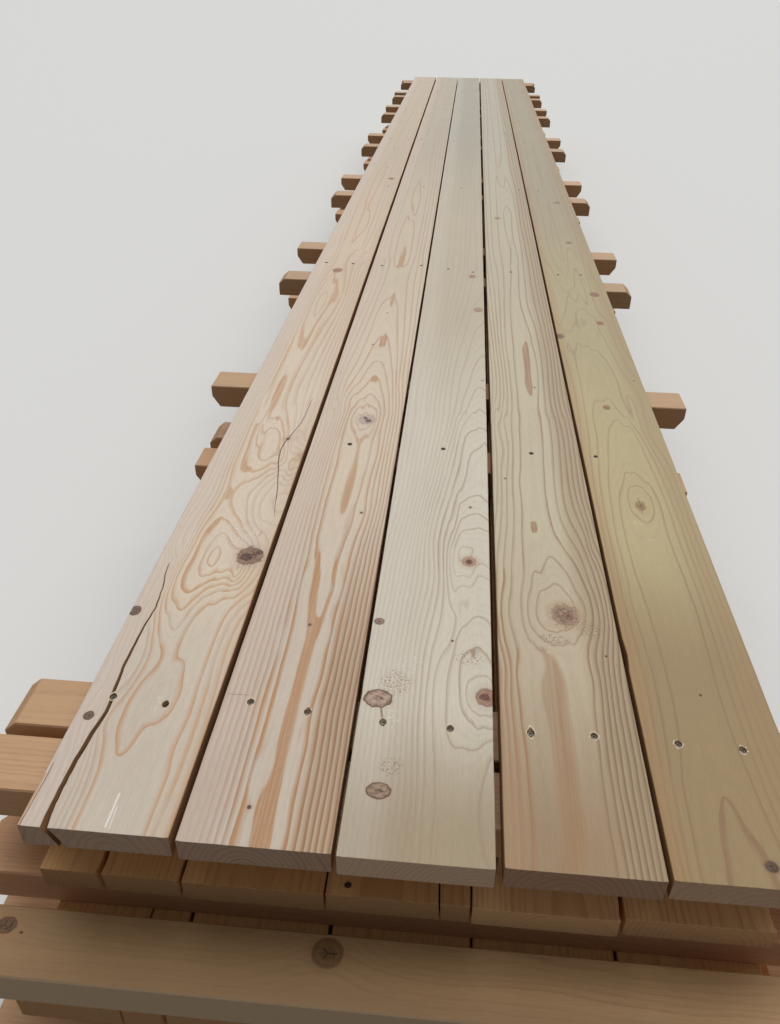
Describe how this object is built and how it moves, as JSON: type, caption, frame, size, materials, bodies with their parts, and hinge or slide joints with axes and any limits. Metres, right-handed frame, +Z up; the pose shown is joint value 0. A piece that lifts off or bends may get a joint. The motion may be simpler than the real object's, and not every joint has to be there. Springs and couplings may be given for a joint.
{
  "type": "stack of timber floor panels",
  "caption": "Long stack of timber floor panels, boards screwed on cross battens, laid in pairs face to face with the battens nested.",
  "frame": {"origin": "middle of the stack's box, on the floor", "axes": "+Z up, +Y along the boards, away from the end seen in the picture, +X across the boards"},
  "size_m": [0.929, 6.132, 0.404],
  "materials": {
    "pale_board": "planed, bare",
    "stacked_board": "planed, bare",
    "batten": "planed, bare"
  },
  "bodies": {
    "root": {"panel_1_board_1": "pale_board", "panel_1_board_2": "pale_board", "panel_1_board_3": "pale_board", "panel_1_board_4": "pale_board", "panel_1_board_5": "pale_board", "panel_2_board_1": "stacked_board", "panel_2_board_2": "stacked_board", "panel_2_board_3": "stacked_board", "panel_2_board_4": "stacked_board", "panel_2_board_5": "stacked_board", "panel_3_board_1": "stacked_board", "panel_3_board_2": "stacked_board", "panel_3_board_3": "stacked_board", "panel_3_board_4": "stacked_board", "panel_3_board_5": "stacked_board", "panel_4_board_1": "stacked_board", "panel_4_board_2": "stacked_board", "panel_4_board_3": "stacked_board", "panel_4_board_4": "stacked_board", "panel_4_board_5": "stacked_board", "panel_5_board_1": "stacked_board", "panel_5_board_2": "stacked_board", "panel_5_board_3": "stacked_board", "panel_5_board_4": "stacked_board", "panel_5_board_5": "stacked_board", "panel_6_board_1": "stacked_board", "panel_6_board_2": "stacked_board", "panel_6_board_3": "stacked_board", "panel_6_board_4": "stacked_board", "panel_6_board_5": "stacked_board", "panel_7_board_1": "stacked_board", "panel_7_board_2": "stacked_board", "panel_7_board_3": "stacked_board", "panel_7_board_4": "stacked_board", "panel_7_board_5": "stacked_board", "panel_8_board_1": "stacked_board", "panel_8_board_2": "stacked_board", "panel_8_board_3": "stacked_board", "panel_8_board_4": "stacked_board", "panel_8_board_5": "stacked_board", "batten_row_1": "batten", "batten_row_2": "batten", "batten_row_3": "batten", "batten_row_4": "batten", "batten_row_5": "batten", "batten_row_6": "batten", "batten_row_7": "batten", "batten_row_8": "batten"}
  },
  "joints": []
}
